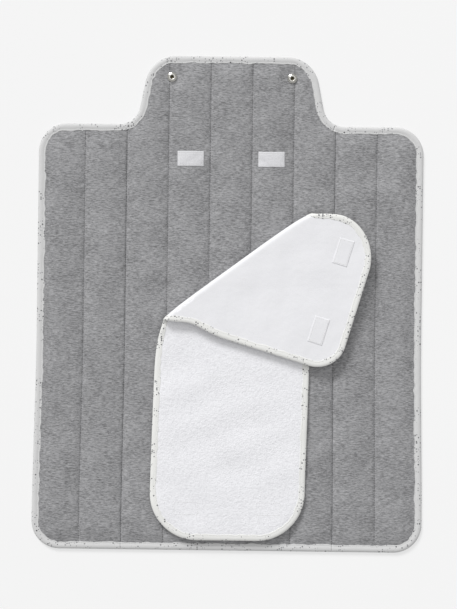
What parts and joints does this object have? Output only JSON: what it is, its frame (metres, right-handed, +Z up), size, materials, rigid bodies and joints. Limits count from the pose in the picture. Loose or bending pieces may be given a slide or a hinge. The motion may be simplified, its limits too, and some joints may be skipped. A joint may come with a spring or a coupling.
{
  "type": "changing pad",
  "caption": "Quilted travel changing pad with a rounded closing tab, folding side wings and a detachable terry towel turned back along a slanting fold.",
  "frame": {"origin": "middle of the pad's outline, on the surface that it lies on", "axes": "+X to the right, +Y from the bottom edge towards the closing tab, +Z up, out of the quilted front"},
  "size_m": [0.51, 0.646, 0.0213],
  "materials": {
    "front_jersey": "matte",
    "wadding": "matte",
    "back_cotton": "matte",
    "bias_binding": "matte",
    "snap_metal": "polished",
    "loop_tape": "matte",
    "terry": "matte",
    "towel_binding": "matte",
    "hook_tape": "matte"
  },
  "bodies": {
    "center": {"center_front_cover": "front_jersey", "center_wadding": "wadding", "center_back_cover": "back_cotton", "center_binding": "bias_binding", "center_snap_studs": "snap_metal", "center_stud_caps": "snap_metal", "upper_loop_patches": "loop_tape", "lower_loop_patches": "loop_tape"},
    "left_wing": {"left_wing_front_cover": "front_jersey", "left_wing_wadding": "wadding", "left_wing_back_cover": "back_cotton", "left_wing_binding": "bias_binding"},
    "right_wing": {"right_wing_front_cover": "front_jersey", "right_wing_wadding": "wadding", "right_wing_back_cover": "back_cotton", "right_wing_binding": "bias_binding"},
    "tab": {"tab_front_cover": "front_jersey", "tab_wadding": "wadding", "tab_back_cover": "back_cotton", "tab_binding": "bias_binding", "tab_snap_sockets": "snap_metal", "tab_snap_caps": "snap_metal"},
    "towel": {"towel_panel": "terry", "towel_panel_binding": "towel_binding", "towel_fold": "terry", "lower_hook_patches": "hook_tape"},
    "towel_flap": {"towel_flap": "terry", "towel_flap_binding": "towel_binding", "upper_hook_patches": "hook_tape"}
  },
  "joints": [
    {"name": "left_wing_fold", "type": "hinge", "parent": "center", "child": "left_wing", "pos_m": [-0.13812, 0, 0.014], "axis": [0, 1, 0], "range_deg": [0, 180]},
    {"name": "right_wing_fold", "type": "hinge", "parent": "center", "child": "right_wing", "pos_m": [0.13812, 0, 0.014], "axis": [0, -1, 0], "range_deg": [0, 180]},
    {"name": "tab_fold", "type": "hinge", "parent": "center", "child": "tab", "pos_m": [0, 0.24, 0.0185], "axis": [1, 0, 0], "range_deg": [0, 180]},
    {"name": "towel_pull_off", "type": "slide", "parent": "center", "child": "towel", "axis": [0, -1, 0], "range_m": [0, 0.58]},
    {"name": "towel_flap_turn", "type": "hinge", "parent": "towel", "child": "towel_flap", "pos_m": [-0.101, -0.019, 0.0147], "axis": [-0.8029, -0.5962, 0], "range_deg": [0, 180], "deforming": ["towel_fold"]}
  ],
  "couplings": [
    {"joint": "towel_flap_turn", "follows": "right_wing_fold", "ratio": 1}
  ]
}
